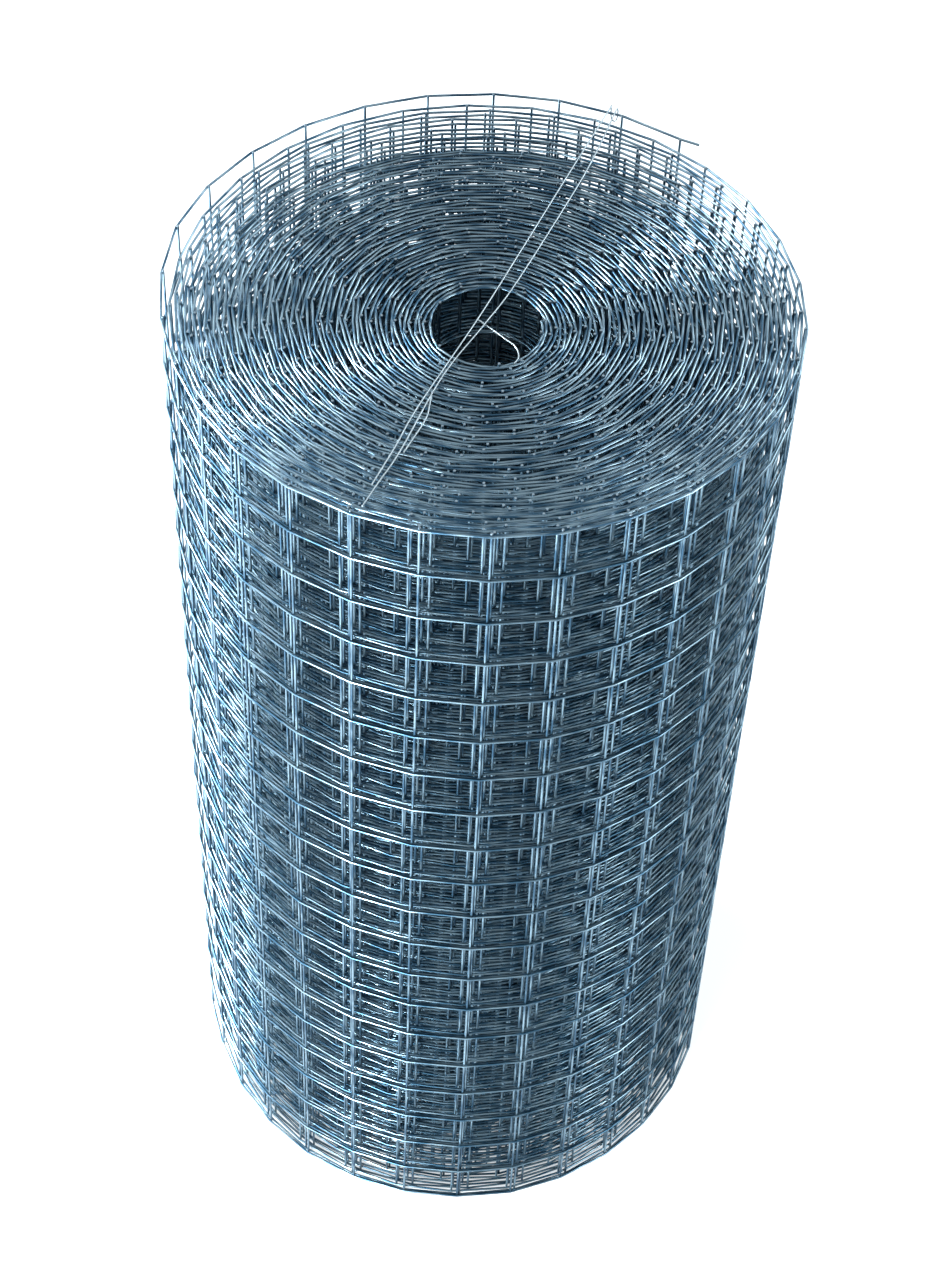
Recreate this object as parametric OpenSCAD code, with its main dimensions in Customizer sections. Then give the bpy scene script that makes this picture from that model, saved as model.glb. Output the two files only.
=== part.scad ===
// A roll of galvanised welded wire mesh standing on its end, tied across the top.
// Millimetres, +Z up. The bore's axis is the Z axis, and Z = 0 is the floor it stands on.

/* [Mesh] */
// Line wires across the width of the mesh
line_wires = 21; // [5:1:41]
// Distance between line wires
line_pitch = 25; // [12:0.5:50]
// Distance between cross wires along the mesh
cell_length = 29; // [16:0.5:50]
// Diameter of the mesh wires
wire_d = 1.2; // [0.7:0.1:1.6]
// Length of cross wire past the middle of the edge line wire
wire_overhang = 1.8; // [0.9:0.1:4]

/* [Roll] */
// Radius of the bore
bore_r = 21.5; // [14:0.5:40]
// Turns wound tight, from the bore out
tight_turns = 44; // [12:1:50]
// Looser turns outside them
open_turns = 11; // [2:1:16]
// Play between tight turns
tight_play = 0.2; // [0.02:0.01:0.4]
// Play between the looser turns
open_play = 0.77; // [0.3:0.01:1.2]
// Share of the play that lies at the back, because the turns lean to the front
lean = 0.84; // [0:0.01:0.9]
// Depth of the gaps between turns, at both ends
gap_depth = 14; // [4:0.5:30]

/* [Loose outer turn] */
// Gap between the loose turn and the tight ones
loose_gap = 7.8; // [3:0.1:14]
// Direction of the mesh's free end, from the right
free_angle = 51; // [30:0.5:75]
// Length of line wire past the last cross wire
stub = 8; // [0:0.5:14]
// How far that free end springs out
end_spring = 2.2; // [0:0.1:4]
// Direction where the turn starts to close in
close_start = 150; // [120:1:160]
// Direction where the turn lies against the roll
close_end = 208; // [190:1:230]

/* [Tie wire] */
// Diameter of the tie wire
tie_d = 0.7; // [0.5:0.1:1.2]
// Clearance of the tie wire over the mesh
seat = 0.3; // [0.1:0.05:0.6]
// How far the folded end hooks down outside the loose turn
hook_drop = 8; // [4:0.5:12]

/* [Hidden] */
$fn = 96;
TIE_SIDES = 8;
SMOOTH_STEPS = 3;

// A weld sinks the wires into each other by a share of their diameter
weld_sink = 0.14;
mesh_t = 2 * wire_d * (1 - weld_sink);

// Turns nest, because the cross wires of one lie between those of the next
nest = 0.166;
turn_t = mesh_t * (1 - nest);
crest_w = wire_d;
mesh_width = (line_wires - 1) * line_pitch;
height = mesh_width + 2 * wire_overhang;
turns = tight_turns + open_turns;
tie_z = height + seat + tie_d / 2;

// Radius and middle of a turn, counted from 0 at the bore
function tight_steps(i) = min(i, tight_turns - 1);
function open_steps(i) = max(0, i - tight_turns + 1);
function play(i) = tight_steps(i) * tight_play + open_steps(i) * open_play;
function turn_outside(i) = bore_r + (i + 1) * turn_t + play(i);
function turn_shift(i) = lean * play(i);

roll_r = turn_outside(turns - 1);
outer_shift = turn_shift(turns - 1);
wall_r = roll_r - wire_d / 2;

// The loose turn's line wires are flattened a little, so that they sink cleanly into the outer ribs
bar_h = 0.9 * wire_d;

// The loose turn closes in on the roll along an S curve, and its last corner sinks into it
cell_angle = cell_length / (roll_r + loose_gap / 2) * 180 / PI;
first_cross = free_angle + stub / cell_length * cell_angle;
cells = ceil((close_end - first_cross) / cell_angle);
function ease(t) = t * t * (3 - 2 * t);
function share(a) = max(0, min(1, (close_end - a) / (close_end - close_start)));
function spring(a) = a <= free_angle ? end_spring : 0;
function loose_r(a) =
    a >= close_end ? roll_r - 0.75 * mesh_t : roll_r + loose_gap * ease(share(a)) + spring(a);
function loose_point(a, r) = [r * cos(a), outer_shift + r * sin(a)];
loose_angles = concat([free_angle], [for (k = [0:cells]) first_cross + k * cell_angle]);

// Smooth path through a list of points
function blend(p, q, r, s, t) =
    0.5 * (2 * q + (r - p) * t + (2 * p - 5 * q + 4 * r - s) * t * t
    + (3 * q - p - 3 * r + s) * t * t * t);
function smooth(path, last) =
    concat([for (i = [0:last - 1], j = [0:SMOOTH_STEPS - 1])
        blend(path[max(0, i - 1)], path[i], path[i + 1], path[min(last, i + 2)], j / SMOOTH_STEPS)],
        [path[last]]);

// Round wire swept along a smooth path, its side turned as little as it can be
function unit(v) = v / norm(v);
function heading(p, i, last) = unit(p[min(last, i + 1)] - p[max(0, i - 1)]);
function across(v, t) = unit(v - (v * t) * t);
module wire(points, d) {
    path = smooth(points, len(points) - 1);
    last = len(path) - 1;
    ahead = [for (i = [0:last]) heading(path, i, last)];
    side = [for (i = 0, v = across([0, 0, 1], ahead[0]); i <= last;
        i = i + 1, v = i <= last ? across(v, ahead[i]) : v) v];
    rings = [for (i = [0:last], k = [0:TIE_SIDES - 1])
        let (a = (k + 0.5) * 360 / TIE_SIDES)
        path[i] + (side[i] * cos(a) + cross(ahead[i], side[i]) * sin(a)) * d / 2 / cos(180 / TIE_SIDES)];
    walls = [for (i = [0:last - 1], k = [0:TIE_SIDES - 1])
        let (a = i * TIE_SIDES, n = (k + 1) % TIE_SIDES)
        [a + k, a + TIE_SIDES + k, a + TIE_SIDES + n, a + n]];
    start_cap = [for (k = [0:TIE_SIDES - 1]) k];
    end_cap = [for (k = [TIE_SIDES - 1:-1:0]) last * TIE_SIDES + k];
    polyhedron(rings, concat([start_cap], walls, [end_cap]));
}

// Half-section of the tight turns, with the line wires standing out of it
module outer_section() {
    square([wall_r, height]);
    for (row = [0:line_wires - 1])
        translate([wall_r, wire_overhang + row * line_pitch])
            circle(d = wire_d, $fn = 24);
}

// Gaps that leave each turn standing as a ridge on an end
module turn_gaps() {
    linear_extrude(gap_depth + 1)
        for (i = [0:turns - 2])
            difference() {
                translate([0, turn_shift(i + 1)])
                    circle(r = turn_outside(i + 1) - crest_w);
                translate([0, turn_shift(i)])
                    circle(r = turn_outside(i));
            }
}

// Strip of the loose turn seen from above, between two distances in from its outside
module loose_strip(from, to) {
    outside = [for (a = loose_angles) loose_point(a, loose_r(a) - from)];
    inside = [for (i = [len(loose_angles) - 1:-1:0])
        loose_point(loose_angles[i], loose_r(loose_angles[i]) - to)];
    polygon(concat(outside, inside));
}

// The outside turn where it stands off the roll: open mesh, with a corner at each cross wire
module loose_turn() {
    for (row = [0:line_wires - 1])
        translate([0, 0, wire_overhang + row * line_pitch - bar_h / 2])
            linear_extrude(bar_h)
                loose_strip(0, wire_d);
    for (k = [1:len(loose_angles) - 1])
        let (a = loose_angles[k])
            translate(loose_point(a, loose_r(a) - mesh_t + wire_d / 2))
                cylinder(d = wire_d, h = height, $fn = 24);
}

module mesh_roll() {
    color("#9fb4c4")
        difference() {
            union() {
                translate([0, outer_shift, 0])
                    rotate_extrude($fn = 180)
                        outer_section();
                loose_turn();
            }
            translate([0, 0, -1])
                cylinder(r = bore_r, h = height + 2);
            translate([0, 0, -1])
                turn_gaps();
            translate([0, 0, height - gap_depth])
                turn_gaps();
        }
}

// Where the tie wire crosses the loose turn, and the point outside it at a given height
hook_angle = 68.4;
hook_r = roll_r + loose_gap + seat + tie_d;
hook_spread = 1.3;
function hook_point(side, r, z) =
    concat(loose_point(hook_angle - side * hook_spread / 2, r), [z]);

// The long strands lie on the turns. One short end goes under strand B, which rises over it
under = tie_z - 0.5 * tie_d;
rise = tie_z + 0.75 * tie_d;
over = tie_z + 0.1;
strand_a = [[-41.6, -95.2, tie_z], [-33.5, -73.3, tie_z], [-25.4, -49.6, tie_z],
    [-3.9, 2.4, tie_z], [14.8, 51.5, tie_z], [33.6, 101.7, tie_z]];
strand_b = [[44.5, 114.9, tie_z], [34.8, 86.4, tie_z], [11.2, 25.5, tie_z], [-0.7, -0.5, rise],
    [-16.7, -32.2, tie_z], [-31.5, -75.8, tie_z], [-39.2, -94, tie_z], [-44.4, -106.6, tie_z]];
fold = [hook_point(-1, hook_r - 3.4, tie_z), hook_point(-1, hook_r - 1.2, over),
    hook_point(-1, hook_r, over - 1.2), hook_point(-1, hook_r + 0.1, over - hook_drop / 2),
    hook_point(-0.7, hook_r + 0.1, over - hook_drop + 1),
    hook_point(0, hook_r + 0.1, over - hook_drop),
    hook_point(0.7, hook_r + 0.1, over - hook_drop + 1),
    hook_point(1, hook_r + 0.1, over - hook_drop / 2), hook_point(1, hook_r, over - 1.2),
    hook_point(1, hook_r - 1.2, over), hook_point(1, hook_r - 3.4, tie_z)];
bore_end = [[-3.9, 2.4, tie_z], [-2.2, 1.1, tie_z - 0.2 * tie_d], [-0.4, -0.5, under],
    [3.1, -3.8, under], [7.8, -8.5, tie_z - 0.2 * tie_d], [12, -13, tie_z],
    [13.5, -18.8, tie_z], [11.8, -23, tie_z]];
front_end = [[-20.6, -42, tie_z], [-21.2, -49.3, tie_z], [-22.6, -58, tie_z],
    [-30.2, -76.7, tie_z]];

module tie_wire() {
    color("#b9c6cc") {
        // The wire is folded double round the loose turn, and both halves run to the front
        wire(concat(strand_a, fold, strand_b), tie_d);
        wire(bore_end, tie_d);
        wire(front_end, tie_d);
    }
}

mesh_roll();
tie_wire();
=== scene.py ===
import math

import bpy
from mathutils import Matrix, Vector


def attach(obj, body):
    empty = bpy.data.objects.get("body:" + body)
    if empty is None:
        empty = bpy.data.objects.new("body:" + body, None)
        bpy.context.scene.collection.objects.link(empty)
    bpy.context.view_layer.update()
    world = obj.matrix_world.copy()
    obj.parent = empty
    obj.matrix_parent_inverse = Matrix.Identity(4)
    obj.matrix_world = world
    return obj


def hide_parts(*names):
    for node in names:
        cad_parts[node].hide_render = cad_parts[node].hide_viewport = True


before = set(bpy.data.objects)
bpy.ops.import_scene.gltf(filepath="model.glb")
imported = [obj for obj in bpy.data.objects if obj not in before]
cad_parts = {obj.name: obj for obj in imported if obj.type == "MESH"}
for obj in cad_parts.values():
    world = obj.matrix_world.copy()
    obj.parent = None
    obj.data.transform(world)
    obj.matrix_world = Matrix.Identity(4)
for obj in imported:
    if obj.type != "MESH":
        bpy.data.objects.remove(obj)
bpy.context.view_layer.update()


# Sizes of the mesh and of the roll, in metres, the same as in the part's source
LINE_WIRES = 21
LINE_PITCH = 0.025
CELL = 0.029
WIRE = 0.0012
OVERHANG = 0.0018
BORE_R = 0.0215
ROLL_R = 0.13324
TURNS = 54.0
SHIFT = 0.01434
DENSE_TURNS = 44.0
BACK_DIP = 0.0088
LOOSE_GAP = 0.0078
FREE_ANGLE = math.radians(51)
STUB = 0.008
END_SPRING = 0.0022
CLOSE_START = math.radians(150)
CLOSE_END = math.radians(208)
TIE = 0.0007
TIE_SEAT = 0.0003

# A weld sinks the cross wire a little into the line wire, which lies outside it
MESH_T = 2 * WIRE * 0.86
WELD_STEP = MESH_T - WIRE
HEIGHT = (LINE_WIRES - 1) * LINE_PITCH + 2 * OVERHANG

# The line wire's spiral: even turns, then one outside turn that ends free
FIRST_R = BORE_R + MESH_T - WIRE / 2
OUTSIDE_MARGIN = 0.0005
LAST_R = ROLL_R - WIRE / 2 - OUTSIDE_MARGIN
TURN_PITCH = (LAST_R - FIRST_R) / TURNS
WOUND_LENGTH = math.pi * (LAST_R ** 2 - FIRST_R ** 2) / TURN_PITCH
OUTSIDE_R = ROLL_R + LOOSE_GAP / 2
MESH_LENGTH = WOUND_LENGTH + 2 * math.pi * OUTSIDE_R
CELLS = int((MESH_LENGTH - STUB) / CELL)
FIRST_CROSS = MESH_LENGTH - STUB - CELLS * CELL

MATH = "ShaderNodeMath"
VECTOR = "ShaderNodeVectorMath"

SPIRAL_SIZES = {
    "First radius": FIRST_R,
    "Outside radius": OUTSIDE_R,
    "Turn pitch": TURN_PITCH,
    "Wound length": WOUND_LENGTH,
    "Turns": TURNS,
    "Free end angle": FREE_ANGLE,
    "Shift": SHIFT,
    "Dense turns": DENSE_TURNS,
    "Back dip": BACK_DIP,
    "Outside slack": 0.0003,
    "Loose gap": LOOSE_GAP,
    "Sprung from": MESH_LENGTH - STUB,
    "Sprung at": MESH_LENGTH,
    "End spring": END_SPRING,
    "Loosens from": 1 + (FREE_ANGLE - CLOSE_END) / (2 * math.pi),
    "Loose by": 1 + (FREE_ANGLE - CLOSE_START) / (2 * math.pi),
    "Uneven turns": 0.0007,
    "Uneven outer turns": 0.0005,
    "Uneven rise": 0.0004,
    "Seed": 11.0,
}


def linear(code):
    """Turns an sRGB hex colour to linear."""
    parts = [int(code[i:i + 2], 16) / 255 for i in (1, 3, 5)]
    return [c / 12.92 if c <= 0.04045 else ((c + 0.055) / 1.055) ** 2.4 for c in parts] + [1]


def add(tree, kind, links=None, **settings):
    """Adds a node with its settings. A link is a socket, a node's first output or a value."""
    made = tree.nodes.new(kind)
    for name, value in settings.items():
        setattr(made, name, value)
    for socket, value in (links or {}).items():
        if isinstance(value, bpy.types.Node):
            value = value.outputs[0]
        if isinstance(value, bpy.types.NodeSocket):
            tree.links.new(value, made.inputs[socket])
        else:
            made.inputs[socket].default_value = value
    return made


def new_tree(name, inputs, outputs):
    """Starts a node tree with named inputs. Whole numbers, sizes, materials and meshes differ in kind."""
    kinds = {int: "NodeSocketInt", float: "NodeSocketFloat", str: "NodeSocketMaterial"}
    tree = bpy.data.node_groups.new(name, "GeometryNodeTree")
    for label, value in inputs.items():
        kind = "NodeSocketGeometry" if value is None else kinds[type(value)]
        socket = tree.interface.new_socket(label, in_out="INPUT", socket_type=kind)
        if type(value) in (int, float):
            socket.default_value = value
    for label, kind in outputs.items():
        tree.interface.new_socket(label, in_out="OUTPUT", socket_type="NodeSocket" + kind)
    return tree, tree.nodes.new("NodeGroupInput").outputs, tree.nodes.new("NodeGroupOutput").inputs


def make_spiral():
    """Gives the place of a point on the mesh from its distance from the inner end."""
    tree, size, out = new_tree(
        "Spiral", {"Length": 0.0, **SPIRAL_SIZES},
        {"Place": "Vector", "Outward": "Vector", "Radius": "Float"})
    wound = add(tree, MATH, {0: size["Length"], 1: size["Wound length"]}, operation="MINIMUM")
    outside = add(tree, MATH, {0: size["Length"], 1: wound}, operation="SUBTRACT")
    squared = add(tree, MATH, {0: size["First radius"], 1: 2.0}, operation="POWER")
    grown = add(tree, MATH, {0: wound, 1: size["Turn pitch"]}, operation="MULTIPLY")
    grown = add(tree, MATH, {0: grown, 1: math.pi}, operation="DIVIDE")
    grown = add(tree, MATH, {0: grown, 1: squared}, operation="ADD")
    radius = add(tree, MATH, {0: grown}, operation="SQRT")
    inner = add(tree, MATH, {0: radius, 1: size["First radius"]}, operation="SUBTRACT")
    inner = add(tree, MATH, {0: inner, 1: size["Turn pitch"]}, operation="DIVIDE")
    round_it = add(tree, MATH, {0: size["Outside radius"], 1: 2 * math.pi}, operation="MULTIPLY")
    outer = add(tree, MATH, {0: outside, 1: round_it}, operation="DIVIDE")
    turn = add(tree, MATH, {0: inner, 1: outer}, operation="ADD")

    slack = add(tree, MATH, {0: outer, 1: size["Outside slack"]}, operation="MULTIPLY")
    radius = add(tree, MATH, {0: radius, 1: slack}, operation="ADD")
    loose = add(tree, "ShaderNodeMapRange", {
        "Value": outer, "From Min": size["Loosens from"], "From Max": size["Loose by"],
        "To Min": 0.0, "To Max": size["Loose gap"]}, interpolation_type="SMOOTHSTEP")
    radius = add(tree, MATH, {0: radius, 1: loose}, operation="ADD")
    sprung = add(tree, "ShaderNodeMapRange", {
        "Value": size["Length"], "From Min": size["Sprung from"], "From Max": size["Sprung at"],
        "To Min": 0.0, "To Max": size["End spring"]})
    radius = add(tree, MATH, {0: radius, 1: sprung}, operation="ADD")

    where = add(tree, MATH, {0: turn, 1: size["Seed"]}, operation="ADD")
    uneven = add(tree, "ShaderNodeTexNoise", {"W": where, "Scale": 2.3, "Detail": 1.0},
                 noise_dimensions="1D")
    uneven = add(tree, MATH, {0: uneven.outputs["Fac"], 1: 0.5}, operation="SUBTRACT")
    calm = add(tree, "ShaderNodeMapRange", {
        "Value": inner, "From Min": size["Dense turns"], "From Max": size["Turns"],
        "To Min": size["Uneven turns"], "To Max": size["Uneven outer turns"]})
    uneven = add(tree, MATH, {0: uneven, 1: calm}, operation="MULTIPLY")
    uneven = add(tree, MATH, {0: uneven, 1: 2.0}, operation="MULTIPLY")
    radius = add(tree, MATH, {0: radius, 1: uneven}, operation="ADD")

    # The winding ends at the free end, so the heading is counted back from there
    left = add(tree, MATH, {0: size["Turns"], 1: turn}, operation="SUBTRACT")
    left = add(tree, MATH, {0: left, 1: 2 * math.pi}, operation="MULTIPLY")
    heading = add(tree, MATH, {0: left, 1: size["Free end angle"]}, operation="ADD")
    east = add(tree, MATH, {0: heading}, operation="COSINE")
    north = add(tree, MATH, {0: heading}, operation="SINE")
    outward = add(tree, "ShaderNodeCombineXYZ", {0: east, 1: north})
    shift = add(tree, MATH, {0: inner, 1: size["Turns"]}, operation="DIVIDE")
    shift = add(tree, MATH, {0: shift, 1: size["Shift"]}, operation="MULTIPLY")

    # At the back the inner turns lie closer, which leaves more room between the outer ones
    closer = add(tree, "ShaderNodeMapRange", {
        "Value": inner, "From Max": size["Dense turns"], "To Max": size["Back dip"]})
    opener = add(tree, "ShaderNodeMapRange", {
        "Value": inner, "From Min": size["Turns"], "From Max": size["Dense turns"],
        "To Max": size["Back dip"]})
    dip = add(tree, MATH, {0: closer, 1: opener}, operation="MINIMUM")
    back = add(tree, MATH, {0: north, 1: 0.0}, operation="MAXIMUM")
    back = add(tree, MATH, {0: back, 1: 2.0}, operation="POWER")
    dip = add(tree, MATH, {0: dip, 1: back}, operation="MULTIPLY")
    radius = add(tree, MATH, {0: radius, 1: dip}, operation="SUBTRACT")
    rise = add(tree, "ShaderNodeTexNoise", {"W": where, "Scale": 1.3, "Detail": 0.0},
               noise_dimensions="1D")
    rise = add(tree, "ShaderNodeMapRange", {
        "Value": rise.outputs["Fac"], "From Min": 0.3, "From Max": 0.7, "To Max": size["Uneven rise"]})
    down = add(tree, MATH, {0: size["Uneven rise"], 1: -1.0}, operation="MULTIPLY")
    tree.links.new(down.outputs[0], rise.inputs["To Min"])
    centre = add(tree, "ShaderNodeCombineXYZ", {1: shift, 2: rise})
    place = add(tree, VECTOR, {0: outward, "Scale": radius}, operation="SCALE")
    place = add(tree, VECTOR, {0: place, 1: centre}, operation="ADD")
    tree.links.new(place.outputs[0], out["Place"])
    tree.links.new(outward.outputs[0], out["Outward"])
    tree.links.new(radius.outputs[0], out["Radius"])
    return tree


def place_on_spiral(tree, size, length):
    """Adds the spiral to a tree, with that tree's own sizes, and returns its outputs."""
    made = add(tree, "GeometryNodeGroup", node_tree=bpy.data.node_groups["Spiral"])
    tree.links.new(length.outputs[0], made.inputs["Length"])
    for label in SPIRAL_SIZES:
        tree.links.new(size[label], made.inputs[label])
    return made.outputs


def bent(tree, size, wires):
    """Pushes the wires a little out of line, the same for all that cross at one place."""
    place = add(tree, "GeometryNodeInputPosition")
    stretched = add(tree, VECTOR, {0: place, 1: (1.0, 1.0, 0.4)}, operation="MULTIPLY")
    field = add(tree, "ShaderNodeTexNoise", {"Vector": stretched, "Scale": 22.0, "Detail": 1.0})
    push = add(tree, VECTOR, {0: field.outputs["Color"], 1: (0.5, 0.5, 0.5)}, operation="SUBTRACT")
    push = add(tree, VECTOR, {0: push, 1: (1.0, 1.0, 0.0)}, operation="MULTIPLY")
    push = add(tree, VECTOR, {0: push, "Scale": size["Bent by"]}, operation="SCALE")
    return add(tree, "GeometryNodeSetPosition", {"Geometry": wires, "Offset": push})


def round_wire(tree, size, wires):
    """Gives a path its round section and closed ends."""
    section = add(tree, "GeometryNodeCurvePrimitiveCircle",
                  {"Resolution": size["Sides"], "Radius": size["Wire radius"]})
    solid = add(tree, "GeometryNodeCurveToMesh", {
        "Curve": wires, "Profile Curve": section.outputs["Curve"], "Fill Caps": True})
    smooth = add(tree, "GeometryNodeSetShadeSmooth", {"Geometry": solid})
    real = add(tree, "GeometryNodeRealizeInstances", {"Geometry": smooth})
    return add(tree, "GeometryNodeSetMaterial", {"Geometry": real, "Material": size["Material"]})


WIRE_SIZES = {"Wire radius": WIRE / 2, "Sides": 6, "Bent by": 0.001, "Material": ""}


def make_line_wires():
    """One line wire along the spiral, kinked at each cross wire, and its copies up the roll."""
    tree, size, out = new_tree("Line wires", {
        "First cell": 0, "Last cell": 10, "Steps in a cell": 2, "Cell length": CELL,
        "First cross wire": FIRST_CROSS, "Cells": CELLS, "Stub": STUB,
        "Line wires": LINE_WIRES, "Line pitch": LINE_PITCH, "Overhang": OVERHANG,
        "Kink at bore": 0.2, "Kink": 0.95, **WIRE_SIZES, **SPIRAL_SIZES}, {"Geometry": "Geometry"})
    cells = add(tree, MATH, {0: size["Last cell"], 1: size["First cell"]}, operation="SUBTRACT")
    steps = add(tree, MATH, {0: cells, 1: size["Steps in a cell"]}, operation="MULTIPLY")
    points = add(tree, MATH, {0: steps, 1: 1.0}, operation="ADD")
    path = add(tree, "GeometryNodeMeshLine", {"Count": points})
    index = add(tree, "GeometryNodeInputIndex")
    counted = add(tree, MATH, {0: index, 1: size["Steps in a cell"]}, operation="DIVIDE")
    counted = add(tree, MATH, {0: counted, 1: size["First cell"]}, operation="ADD")
    before = add(tree, MATH, {0: counted}, operation="FLOOR")
    part = add(tree, MATH, {0: counted, 1: before}, operation="SUBTRACT")
    after = add(tree, MATH, {0: before, 1: 1.0}, operation="ADD")
    # The wires end a stub past the first and the last cross wire
    short = add(tree, MATH, {0: size["Stub"], 1: size["Cell length"]}, operation="DIVIDE")
    start = add(tree, MATH, {0: short, 1: -1.0}, operation="MULTIPLY")
    end = add(tree, MATH, {0: size["Cells"], 1: short}, operation="ADD")
    before, after = [
        add(tree, "ShaderNodeClamp", {"Value": cell, "Min": start, "Max": end}) for cell in (before, after)]
    along = add(tree, "ShaderNodeMix", {0: part, 2: before, 3: after}, data_type="FLOAT")
    spots = []
    for cell in (along, before, after):
        length = add(tree, MATH, {0: cell, 1: size["Cell length"]}, operation="MULTIPLY")
        length = add(tree, MATH, {0: length, 1: size["First cross wire"]}, operation="ADD")
        spots.append(place_on_spiral(tree, size, length))
    curved, start, end = spots
    straight = add(tree, "ShaderNodeMix", {0: part, 4: start["Place"], 5: end["Place"]},
                   data_type="VECTOR")
    stiff = add(tree, "ShaderNodeMapRange", {
        "Value": curved["Radius"], "From Min": 0.024, "From Max": 0.09,
        "To Min": size["Kink at bore"], "To Max": size["Kink"]})
    place = add(tree, "ShaderNodeMix", {
        0: stiff, 4: curved["Place"], 5: straight.outputs[1]}, data_type="VECTOR")
    path = add(tree, "GeometryNodeSetPosition", {"Geometry": path, "Position": place.outputs[1]})
    wire = add(tree, "GeometryNodeMeshToCurve", {"Mesh": path})
    lift = add(tree, "ShaderNodeCombineXYZ", {2: size["Overhang"]})
    step = add(tree, "ShaderNodeCombineXYZ", {2: size["Line pitch"]})
    rows = add(tree, "GeometryNodeMeshLine", {
        "Count": size["Line wires"], "Start Location": lift, "Offset": step})
    wires = add(tree, "GeometryNodeInstanceOnPoints", {"Points": rows, "Instance": wire})
    wires = add(tree, "GeometryNodeRealizeInstances", {"Geometry": wires})
    wires = bent(tree, size, wires)
    tree.links.new(round_wire(tree, size, wires).outputs[0], out["Geometry"])
    return tree


def make_cross_wires():
    """A cross wire at the end of each cell, inside the line wires."""
    tree, size, out = new_tree("Cross wires", {
        "Last cell": CELLS, "Cell length": CELL, "First cross wire": FIRST_CROSS,
        "Weld step": WELD_STEP, "Height": HEIGHT, "Pieces": 7, "Uneven ends": 0.0004,
        **WIRE_SIZES, **SPIRAL_SIZES}, {"Geometry": "Geometry"})
    count = add(tree, MATH, {0: size["Last cell"], 1: 1.0}, operation="ADD")
    places = add(tree, "GeometryNodeMeshLine", {"Count": count})
    index = add(tree, "GeometryNodeInputIndex")
    length = add(tree, MATH, {0: index, 1: size["Cell length"]}, operation="MULTIPLY")
    length = add(tree, MATH, {0: length, 1: size["First cross wire"]}, operation="ADD")
    spot = place_on_spiral(tree, size, length)
    inward = add(tree, MATH, {0: size["Weld step"], 1: -1.0}, operation="MULTIPLY")
    inward = add(tree, VECTOR, {0: spot["Outward"], "Scale": inward}, operation="SCALE")
    low = add(tree, "FunctionNodeRandomValue", {2: 0.0, 3: size["Uneven ends"], "Seed": 3})
    lift = add(tree, "ShaderNodeCombineXYZ", {2: low.outputs[1]})
    place = add(tree, VECTOR, {0: spot["Place"], 1: (1.0, 1.0, 0.0)}, operation="MULTIPLY")
    place = add(tree, VECTOR, {0: place, 1: inward}, operation="ADD")
    place = add(tree, VECTOR, {0: place, 1: lift}, operation="ADD")
    places = add(tree, "GeometryNodeSetPosition", {"Geometry": places, "Position": place})
    reach = add(tree, MATH, {0: size["Uneven ends"], 1: 2.0}, operation="MULTIPLY")
    reach = add(tree, MATH, {0: size["Height"], 1: reach}, operation="SUBTRACT")
    top = add(tree, "ShaderNodeCombineXYZ", {2: reach})
    upright = add(tree, "GeometryNodeCurvePrimitiveLine", {"End": top})
    upright = add(tree, "GeometryNodeResampleCurve", {"Curve": upright, "Count": size["Pieces"]})
    wires = add(tree, "GeometryNodeInstanceOnPoints", {"Points": places, "Instance": upright})
    wires = add(tree, "GeometryNodeRealizeInstances", {"Geometry": wires})
    wires = bent(tree, size, wires)
    wires = add(tree, "GeometryNodeStoreNamedAttribute", {
        "Geometry": wires, "Name": "cross_wire", "Value": 1.0}, data_type="FLOAT", domain="POINT")
    tree.links.new(round_wire(tree, size, wires).outputs[0], out["Geometry"])
    return tree


def make_binding_wire():
    """A round wire along the paths of the mesh it is given."""
    tree, size, out = new_tree(
        "Binding wire", {"Paths": None, "Wire radius": TIE / 2, "Sides": 10, "Material": ""},
        {"Geometry": "Geometry"})
    wire = add(tree, "GeometryNodeMeshToCurve", {"Mesh": size["Paths"]})
    wire = add(tree, "GeometryNodeCurveSplineType", {"Curve": wire}, spline_type="CATMULL_ROM")
    tree.links.new(round_wire(tree, size, wire).outputs[0], out["Geometry"])
    return tree


def made_by(tree, name, material, paths=(), **values):
    """Runs a tree on an empty object, or on some paths, and keeps the result as a plain mesh."""
    points = [point for path in paths for point in path]
    edges = []
    for path in paths:
        first = edges[-1][1] + 1 if edges else 0
        edges += [(first + i, first + i + 1) for i in range(len(path) - 1)]
    start = bpy.data.meshes.new(name + "_start")
    start.from_pydata(points, edges, [])
    host = bpy.data.objects.new(name, start)
    bpy.context.scene.collection.objects.link(host)
    modifier = host.modifiers.new("Wires", "NODES")
    modifier.node_group = tree
    for socket in tree.interface.items_tree:
        if socket.name == "Material":
            modifier[socket.identifier] = material
        elif socket.name in values:
            modifier[socket.identifier] = values[socket.name]
    bpy.context.view_layer.update()
    plain = bpy.data.meshes.new_from_object(
        host.evaluated_get(bpy.context.evaluated_depsgraph_get()))
    host.modifiers.remove(modifier)
    host.data = plain
    plain.name = name
    return host


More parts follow.
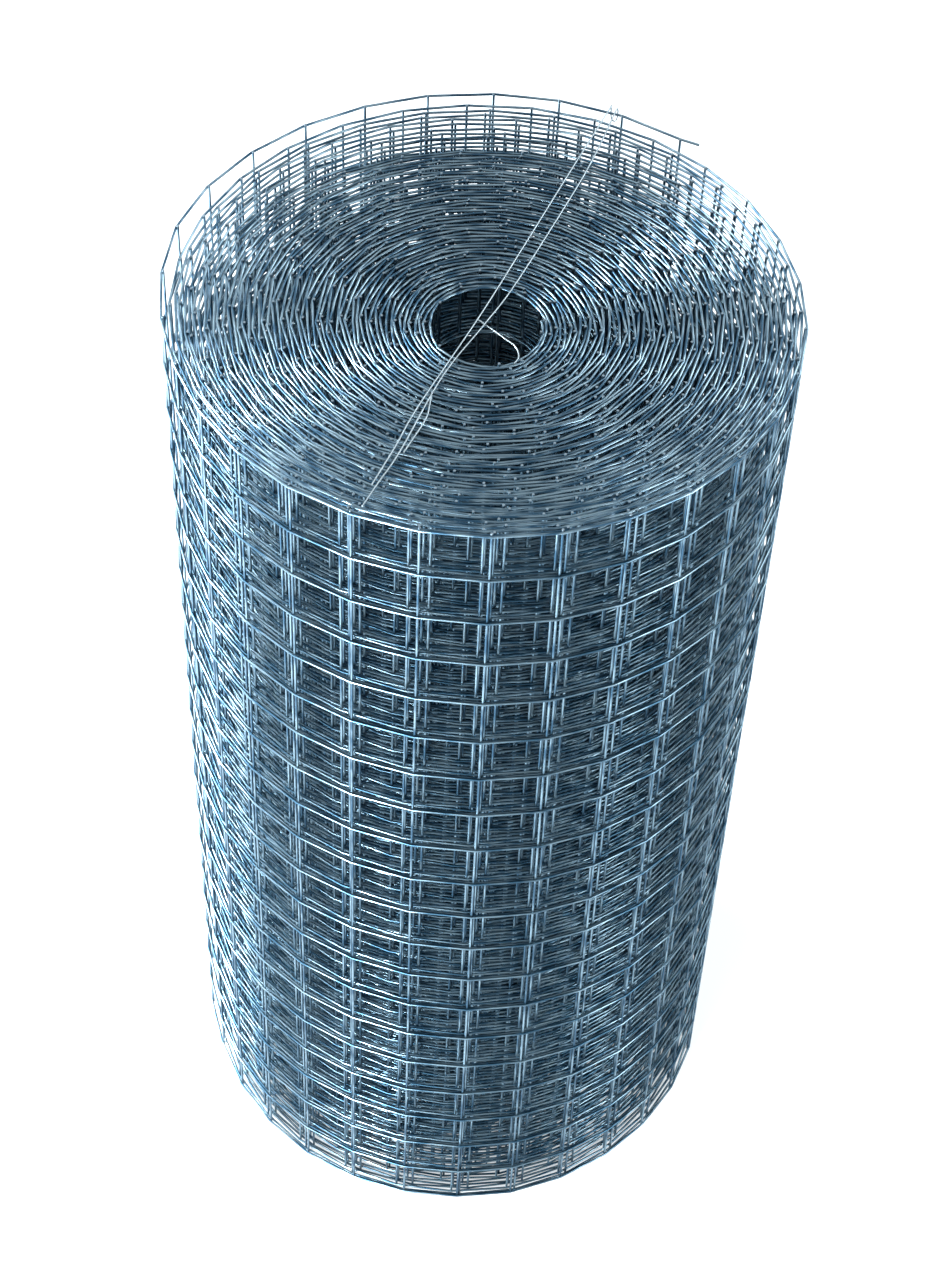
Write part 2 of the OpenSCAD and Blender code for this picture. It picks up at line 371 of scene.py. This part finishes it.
def tie_paths():
    """The binding wire's route in millimetres: folded round the loose turn, with two short ends."""
    diameter = TIE * 1000
    level = (HEIGHT + TIE_SEAT) * 1000 + diameter / 2
    over = level + 0.1
    under = level - 0.5 * diameter
    rise = level + 0.75 * diameter
    drop = 8

    def at_fold(side, out, height):
        angle = math.radians(68.4 - side * 0.65)
        radius = (ROLL_R + LOOSE_GAP + TIE_SEAT + TIE) * 1000 + out
        return (radius * math.cos(angle), SHIFT * 1000 + radius * math.sin(angle), height)

    strand_a = [(-41.6, -95.2, level), (-33.5, -73.3, level), (-25.4, -49.6, level),
                (-3.9, 2.4, level), (14.8, 51.5, level), (33.6, 101.7, level)]
    fold = [at_fold(-1, -3.4, level), at_fold(-1, -1.2, over), at_fold(-1, 0, over - 1.2),
            at_fold(-1, 0.1, over - drop / 2), at_fold(-0.7, 0.1, over - drop + 1),
            at_fold(0, 0.1, over - drop), at_fold(0.7, 0.1, over - drop + 1),
            at_fold(1, 0.1, over - drop / 2), at_fold(1, 0, over - 1.2),
            at_fold(1, -1.2, over), at_fold(1, -3.4, level)]
    strand_b = [(44.5, 114.9, level), (34.8, 86.4, level), (11.2, 25.5, level), (-0.7, -0.5, rise),
                (-16.7, -32.2, level), (-31.5, -75.8, level), (-39.2, -94, level), (-44.4, -106.6, level)]
    bore_end = [(-3.9, 2.4, level), (-2.2, 1.1, level - 0.2 * diameter), (-0.4, -0.5, under),
                (3.1, -3.8, under), (7.8, -8.5, level - 0.2 * diameter), (12, -13, level),
                (13.5, -18.8, level), (11.8, -23, level)]
    front_end = [(-20.6, -42, level), (-21.2, -49.3, level), (-22.6, -58, level), (-30.2, -76.7, level)]
    routes = (strand_a + fold + strand_b, bore_end, front_end)
    return [[tuple(value / 1000 for value in point) for point in route] for route in routes]


def galvanised_wire():
    """Hot-dip galvanised steel wire: zinc, bluish grey, bright where it is clean, duller in patches."""
    material = bpy.data.materials.new("hot-dip galvanised steel wire")
    material.use_nodes = True
    tree = material.node_tree
    tree.nodes.clear()
    place = add(tree, "ShaderNodeTexCoord").outputs["Object"]
    centred = add(tree, VECTOR, {0: place, 1: (0.0, SHIFT, 0.0)}, operation="SUBTRACT")
    level = add(tree, VECTOR, {0: centred, 1: (1.0, 1.0, 0.0)}, operation="MULTIPLY")
    out = add(tree, VECTOR, {0: level}, operation="LENGTH").outputs["Value"]

    # The patches run along a wire, and those of the next turn are others
    patch = 0.012
    turn = add(tree, MATH, {0: out, 1: patch / TURN_PITCH}, operation="MULTIPLY")
    patches = add(tree, "ShaderNodeTexNoise", {
        "Vector": place, "W": turn, "Scale": 1 / patch, "Detail": 2.0}, noise_dimensions="4D")
    clean = add(tree, "ShaderNodeMapRange", {
        "Value": patches.outputs["Fac"], "From Min": 0.4, "From Max": 0.62})
    colour = add(tree, "ShaderNodeMix", {
        0: clean, 6: linear("#2c4659"), 7: linear("#708794")}, data_type="RGBA")
    rough = add(tree, "ShaderNodeMapRange", {
        "Value": clean, "To Min": 0.38, "To Max": 0.3})

    # Painted shade: below the top the line wires are painted darker, most so inside the roll, where the
    # turns shade one another; the cross wires are left out
    painted_shade_depth = add(tree, "ShaderNodeMapRange", {
        "Value": out, "From Min": ROLL_R - 0.003, "From Max": ROLL_R - 0.013,
        "To Min": 0.3, "To Max": 0.33}, interpolation_type="SMOOTHSTEP")
    height = add(tree, "ShaderNodeSeparateXYZ", {0: place}).outputs[2]
    low = add(tree, "ShaderNodeMapRange", {
        "Value": height, "From Min": HEIGHT - 0.004, "From Max": HEIGHT - 0.02})
    inside = add(tree, MATH, {0: painted_shade_depth, 1: low}, operation="MULTIPLY")
    cross = add(tree, "ShaderNodeAttribute", attribute_name="cross_wire").outputs["Fac"]
    line = add(tree, MATH, {0: 1.0, 1: cross}, operation="SUBTRACT")
    inside = add(tree, MATH, {0: inside, 1: line}, operation="MULTIPLY")
    # The dark blue mixed in here is painted shade, not a duller zinc
    colour = add(tree, "ShaderNodeMix", {
        0: inside, 6: colour.outputs[2], 7: linear("#16303c")}, data_type="RGBA")

    # Painted highlight: the cross wires' cut tips are painted lighter, standing in for the light they catch
    painted_tip_highlight = add(tree, "ShaderNodeMapRange", {
        "Value": height, "From Min": HEIGHT - 0.0014, "From Max": HEIGHT - 0.0009})
    painted_tip_highlight = add(tree, MATH, {0: painted_tip_highlight, 1: cross}, operation="MULTIPLY")
    colour = add(tree, "ShaderNodeMix", {
        0: painted_tip_highlight, 6: colour.outputs[2], 7: linear("#7a8c98")}, data_type="RGBA")
    shader = add(tree, "ShaderNodeBsdfPrincipled", {
        "Base Color": colour.outputs[2], "Roughness": rough, "Metallic": 1.0})
    add(tree, "ShaderNodeOutputMaterial", {"Surface": shader})
    return material


def binding_wire():
    """Thin galvanised binding wire: paler than the mesh and drawn smooth."""
    material = bpy.data.materials.new("galvanised binding wire")
    material.use_nodes = True
    tree = material.node_tree
    tree.nodes.clear()
    place = add(tree, "ShaderNodeTexCoord").outputs["Object"]
    patches = add(tree, "ShaderNodeTexNoise", {"Vector": place, "Scale": 1 / 0.006, "Detail": 2.0})
    colour = add(tree, "ShaderNodeMix", {
        0: patches.outputs["Fac"], 6: linear("#66767f"), 7: linear("#929fa6")}, data_type="RGBA")
    shader = add(tree, "ShaderNodeBsdfPrincipled", {
        "Base Color": colour.outputs[2], "Roughness": 0.36, "Metallic": 1.0})
    add(tree, "ShaderNodeOutputMaterial", {"Surface": shader})
    return material


make_spiral()
zinc = galvanised_wire()
line_tree = make_line_wires()
pieces = []
STRETCHES = {
    "inner_turns": (-1, 120, 4, 6), "middle_turns": (120, 490, 2, 6),
    "outer_turns": (490, 850, 2, 6), "outside_turns": (850, CELLS + 1, 3, 8)}
for name, (first, last, steps, sides) in STRETCHES.items():
    values = {"First cell": first, "Last cell": last, "Steps in a cell": steps, "Sides": sides}
    pieces.append(made_by(line_tree, name, zinc, **values))
pieces.append(made_by(make_cross_wires(), "cross_wires", zinc))
for piece in pieces:
    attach(piece, "root")
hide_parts("mesh_roll")

tie = made_by(make_binding_wire(), "binding_wire", binding_wire(), tie_paths())
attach(tie, "root")
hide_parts("tie_wire")

# The camera of the photograph: its place, and how far it looks down and leans
CAMERA_PLACE = Vector((0.0008, -0.8271, 1.2547))
CAMERA_DOWN = math.radians(48.88)
CAMERA_LEAN = math.radians(2.68)
CAMERA_LENS = 76.2

ahead = Vector((0, math.cos(CAMERA_DOWN), -math.sin(CAMERA_DOWN)))
level = Vector((1, 0, 0))
upright = level.cross(ahead)
right = math.cos(CAMERA_LEAN) * level + math.sin(CAMERA_LEAN) * upright
up = math.cos(CAMERA_LEAN) * upright - math.sin(CAMERA_LEAN) * level
camera = bpy.data.objects.new("camera", bpy.data.cameras.new("camera"))
camera.data.lens = CAMERA_LENS
camera.data.sensor_width = 36
camera.matrix_world = Matrix.Translation(CAMERA_PLACE) @ Matrix((right, up, -ahead)).transposed().to_4x4()
bpy.context.scene.collection.objects.link(camera)
bpy.context.scene.camera = camera


def strip_lamp(name, low_end, high_end, width, power):
    """A soft strip lamp between two points, turned to face the roll."""
    low, high = Vector(low_end), Vector(high_end)
    middle = (low + high) / 2
    back = (middle - Vector((0, 0, 0.35))).normalized()
    across = (high - low).cross(back).normalized()
    lamp = bpy.data.objects.new(name, bpy.data.lights.new(name, "AREA"))
    lamp.data.shape = "RECTANGLE"
    lamp.data.size = width
    lamp.data.size_y = (high - low).length
    lamp.data.energy = power
    turned = Matrix((across, back.cross(across), back)).transposed().to_4x4()
    lamp.matrix_world = Matrix.Translation(middle) @ turned
    bpy.context.scene.collection.objects.link(lamp)


strip_lamp("left_lamp", (-2.0, 0.2, 0.95), (-0.92, 0.76, 2.06), 0.44, 130)
strip_lamp("far_left_lamp", (-1.55, 0.2, 0.03), (-1.55, 0.22, 0.45), 0.56, 165)
strip_lamp("front_left_lamp", (-0.93, -1.5, 0.02), (-0.85, -1.35, 0.6), 0.6, 290)
strip_lamp("front_right_lamp", (1.35, -0.85, 0.2), (1.2, -0.6, 1.0), 0.6, 38)
strip_lamp("right_lamp", (0.7, 1.12, 2.0), (1.6, 0.96, 1.22), 0.6, 26)


def seen_directly(tree):
    """True for what the camera sees, also in a mirror or through glass."""
    path = add(tree, "ShaderNodeLightPath").outputs
    seen = add(tree, MATH, {0: path["Is Camera Ray"], 1: path["Is Glossy Ray"]}, operation="MAXIMUM")
    return add(tree, MATH, {0: seen, 1: path["Is Transmission Ray"]}, operation="MAXIMUM")


def pale(material, colour, glow):
    """A plain pale surface that keeps shadows, lifted towards white where it is seen directly."""
    material.use_nodes = True
    tree = material.node_tree
    tree.nodes.clear()
    lifted = add(tree, MATH, {0: seen_directly(tree), 1: glow}, operation="MULTIPLY")
    plain = add(tree, "ShaderNodeBsdfDiffuse", {"Color": linear(colour)})
    white = add(tree, "ShaderNodeEmission", {"Color": linear("#f2f8fb"), "Strength": 1.0})
    shown = add(tree, "ShaderNodeMixShader", {0: lifted, 1: plain, 2: white})
    add(tree, "ShaderNodeOutputMaterial", {"Surface": shown})
    return material


floor_mesh = bpy.data.meshes.new("floor")
FLOOR = 30
floor_mesh.from_pydata(
    [(-FLOOR, -FLOOR, 0), (FLOOR, -FLOOR, 0), (FLOOR, FLOOR, 0), (-FLOOR, FLOOR, 0)], [], [(0, 1, 2, 3)])
floor_mesh.materials.append(pale(bpy.data.materials.new("pale floor"), "#eaf1f6", 0.6))
floor = bpy.data.objects.new("floor", floor_mesh)
bpy.context.scene.collection.objects.link(floor)

world = bpy.data.worlds.new("soft room")
world.use_nodes = True
bpy.context.scene.world = world
tree = world.node_tree
tree.nodes.clear()
room = add(tree, "ShaderNodeBackground", {"Color": linear("#d0e2ee"), "Strength": 0.8})
white = add(tree, "ShaderNodeBackground", {"Color": (1, 1, 1, 1), "Strength": 1.0})
shown = add(tree, "ShaderNodeMixShader", {0: seen_directly(tree), 1: room, 2: white})
add(tree, "ShaderNodeOutputWorld", {"Surface": shown})

bpy.context.scene.view_settings.view_transform = "Standard"
